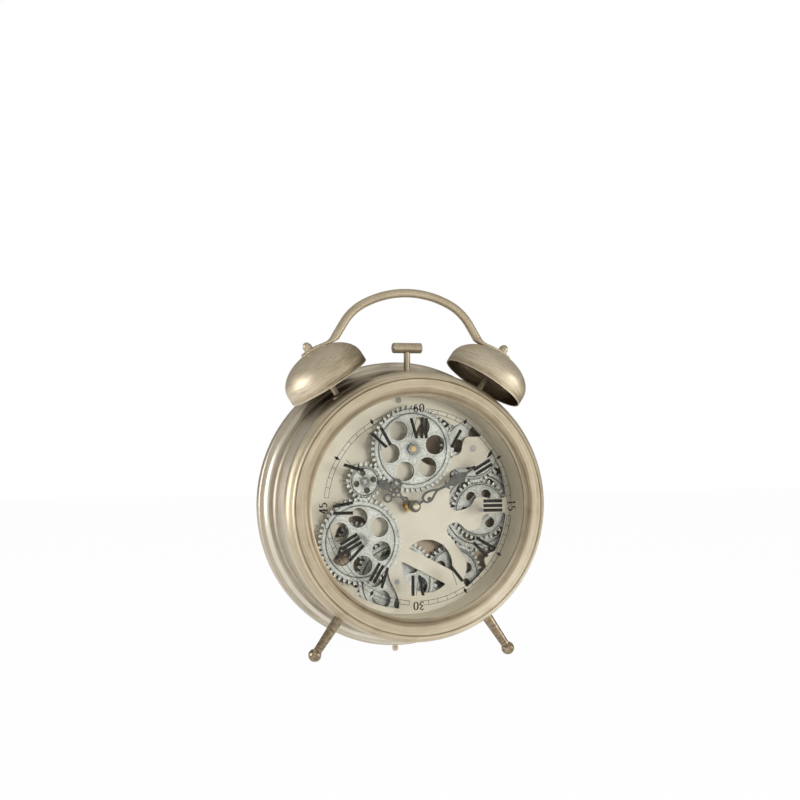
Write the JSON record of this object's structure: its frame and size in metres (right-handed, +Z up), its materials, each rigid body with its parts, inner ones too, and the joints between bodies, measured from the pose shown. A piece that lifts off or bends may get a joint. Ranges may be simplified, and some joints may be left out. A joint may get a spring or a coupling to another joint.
{
  "type": "twin-bell table clock",
  "caption": "Round table clock on splayed ball feet with two bells, a hammer and a carrying handle; cut-out dial shows a turning gear train behind printed glass.",
  "frame": {"origin": "on the table under the middle of the case's width and depth", "axes": "+X to the viewer's right, +Y from the dial to the rear cover, +Z up"},
  "size_m": [0.2932, 0.093, 0.3735],
  "materials": {
    "case_gold": "brushed antique gold lacquer",
    "fittings_gold": "satin antique gold lacquer",
    "glass": "clear, printed on the rear face",
    "wall_grey": "matt grey-beige",
    "dial_cream": "matt cream",
    "plate_brown": "matt bronze brown",
    "cover_black": "matt black",
    "wheel_silver": "cast, satin",
    "steel": "plain zinc",
    "brass": "polished",
    "hand_dark": "satin dark grey",
    "unit_black": "moulded black",
    "motion_white": "moulded white",
    "cell_skin": "plain printed sleeve"
  },
  "bodies": {
    "case": {"case_drum": "case_gold", "front_bezel": "case_gold", "rear_rim": "case_gold", "leg_left": "fittings_gold", "leg_right": "fittings_gold", "rear_foot": "fittings_gold", "bell_left": "fittings_gold", "bell_right": "fittings_gold", "bell_post_left": "fittings_gold", "bell_post_right": "fittings_gold", "handle": "fittings_gold", "cap_nuts": "fittings_gold", "glass": "glass", "dial_spacer": "wall_grey", "dial_plate": "dial_cream", "train_plate": "plate_brown", "rear_cover_left": "cover_black", "rear_cover_right": "cover_black", "dial_ring": "steel", "dial_screws": "steel", "train_pillars": "steel", "pillar_screws": "steel", "cover_screws": "steel", "foot_nuts": "steel", "bell_post_nuts": "steel", "wheel_studs": "steel", "hammer_bracket": "steel", "hammer_pin": "steel", "upper_stud": "brass", "movement_bush": "brass", "bush_nut": "brass", "movement_case": "unit_black", "movement_lid": "unit_black", "drive_unit": "unit_black", "movement_cell": "cell_skin", "drive_cell": "cell_skin"},
    "minute_work": {"minute_hand": "hand_dark", "hand_nut": "brass", "minute_arbor": "steel"},
    "hour_work": {"hour_hand": "hand_dark", "hour_wheel": "brass"},
    "setting_work": {"minute_wheel": "motion_white", "setting_knob": "unit_black"},
    "upper_gear": {"upper_wheel": "wheel_silver"},
    "idler_gear": {"idler_wheel": "wheel_silver"},
    "left_gear": {"left_wheel": "wheel_silver", "left_arbor": "steel", "left_pinion": "wheel_silver"},
    "lower_gear": {"lower_wheel": "wheel_silver", "lower_pinion": "wheel_silver", "lower_arbor": "steel"},
    "lower_idler_gear": {"lower_idler": "wheel_silver"},
    "right_gear": {"right_wheel": "wheel_silver", "right_pinion": "wheel_silver", "right_arbor": "steel"},
    "corner_gear": {"corner_wheel": "wheel_silver"},
    "hammer": {"hammer_arm": "fittings_gold", "hammer_head": "fittings_gold"},
    "switch_knob": {"drive_switch": "unit_black"}
  },
  "joints": [
    {"name": "minute_spin", "type": "hinge", "parent": "case", "child": "minute_work", "pos_m": [0, 0, 0.153], "axis": [0, 1, 0], "continuous": true},
    {"name": "hour_spin", "type": "hinge", "parent": "case", "child": "hour_work", "pos_m": [0, 0, 0.153], "axis": [0, 1, 0], "continuous": true},
    {"name": "setting_spin", "type": "hinge", "parent": "case", "child": "setting_work", "pos_m": [0, 0, 0.165], "axis": [0, 1, 0], "continuous": true},
    {"name": "right_spin", "type": "hinge", "parent": "case", "child": "right_gear", "pos_m": [0.07783, 0, 0.14746], "axis": [0, 1, 0], "continuous": true},
    {"name": "lower_idler_spin", "type": "hinge", "parent": "case", "child": "lower_idler_gear", "pos_m": [0.05, 0, 0.08067], "axis": [0, 1, 0], "continuous": true},
    {"name": "lower_spin", "type": "hinge", "parent": "case", "child": "lower_gear", "pos_m": [-0.01245, 0, 0.07565], "axis": [0, 1, 0], "continuous": true},
    {"name": "left_spin", "type": "hinge", "parent": "case", "child": "left_gear", "pos_m": [-0.05488, 0, 0.11808], "axis": [0, 1, 0], "continuous": true},
    {"name": "idler_spin", "type": "hinge", "parent": "case", "child": "idler_gear", "pos_m": [-0.05038, 0, 0.17791], "axis": [0, 1, 0], "continuous": true},
    {"name": "upper_spin", "type": "hinge", "parent": "case", "child": "upper_gear", "pos_m": [0, 0, 0.2105], "axis": [0, 1, 0], "continuous": true},
    {"name": "corner_spin", "type": "hinge", "parent": "case", "child": "corner_gear", "pos_m": [0.06898, 0, 0.21037], "axis": [0, 1, 0], "continuous": true},
    {"name": "hammer_swing", "type": "hinge", "parent": "case", "child": "hammer", "pos_m": [0, 0, 0.265], "axis": [0, 1, 0], "range_deg": [-30, 30], "stiffness_Nm_per_rad": 0.06},
    {"name": "switch_slide", "type": "slide", "parent": "case", "child": "switch_knob", "axis": [1, 0, 0], "range_m": [0, 0.004]}
  ],
  "couplings": [
    {"joint": "hour_spin", "follows": "minute_spin", "ratio": 0.083333},
    {"joint": "setting_spin", "follows": "minute_spin", "ratio": -0.33333},
    {"joint": "lower_idler_spin", "follows": "right_spin", "ratio": -1.4118},
    {"joint": "lower_spin", "follows": "right_spin", "ratio": 1.2973},
    {"joint": "left_spin", "follows": "right_spin", "ratio": -3.1135},
    {"joint": "idler_spin", "follows": "right_spin", "ratio": 7.4724},
    {"joint": "upper_spin", "follows": "right_spin", "ratio": -3.1135},
    {"joint": "corner_spin", "follows": "right_spin", "ratio": -0.89474}
  ]
}
